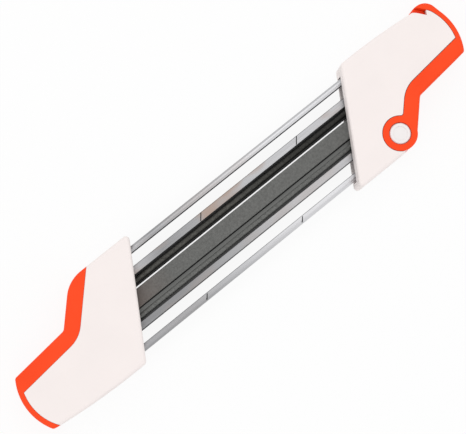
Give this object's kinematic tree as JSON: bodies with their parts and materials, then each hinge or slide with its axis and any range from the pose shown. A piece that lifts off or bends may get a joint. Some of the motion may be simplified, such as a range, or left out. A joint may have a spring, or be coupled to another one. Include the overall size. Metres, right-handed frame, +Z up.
{
  "type": "chainsaw file guide",
  "caption": "Hand-held guide for sharpening a saw chain: round files and a flat file between slotted steel plates, held by white and orange handles, with a swing lock lever.",
  "frame": {"origin": "middle of the tool on the face it rests on", "axes": "+X along the tool to the handle with the lock lever, +Y across it, +Z up out of the user's face"},
  "size_m": [0.36, 0.0694, 0.024],
  "materials": {
    "white_plastic": "satin moulded",
    "orange_plastic": "satin moulded",
    "cap_plastic": "satin moulded",
    "seat_plastic": "matt moulded",
    "plate_steel": "ground and polished",
    "file_steel": "dark, cut with fine teeth",
    "flat_file_steel": "grey, cut with fine teeth",
    "pin_steel": "ground",
    "screw_steel": "zinc plated"
  },
  "bodies": {
    "root": {"left_upper_shell": "white_plastic", "left_lower_shell": "white_plastic", "left_trim": "orange_plastic", "left_file_seat": "seat_plastic", "left_plate_pins": "pin_steel", "left_screws": "screw_steel", "right_upper_shell": "white_plastic", "right_lower_shell": "white_plastic", "pivot_pin": "pin_steel", "upper_pivot_cap": "cap_plastic", "lower_pivot_cap": "cap_plastic", "right_file_seat": "seat_plastic", "right_plate_pins": "pin_steel", "right_screws": "screw_steel", "guide_plate_a": "plate_steel", "guide_plate_b": "plate_steel", "round_file_a": "file_steel", "round_file_b": "file_steel", "flat_file": "flat_file_steel"},
    "lever": {"lock_lever": "orange_plastic"}
  },
  "joints": [
    {"name": "lever_hinge", "type": "hinge", "parent": "root", "child": "lever", "pos_m": [0.10746, -0.0232, 0.012], "axis": [0, 0, -1], "range_deg": [0, 80]}
  ]
}
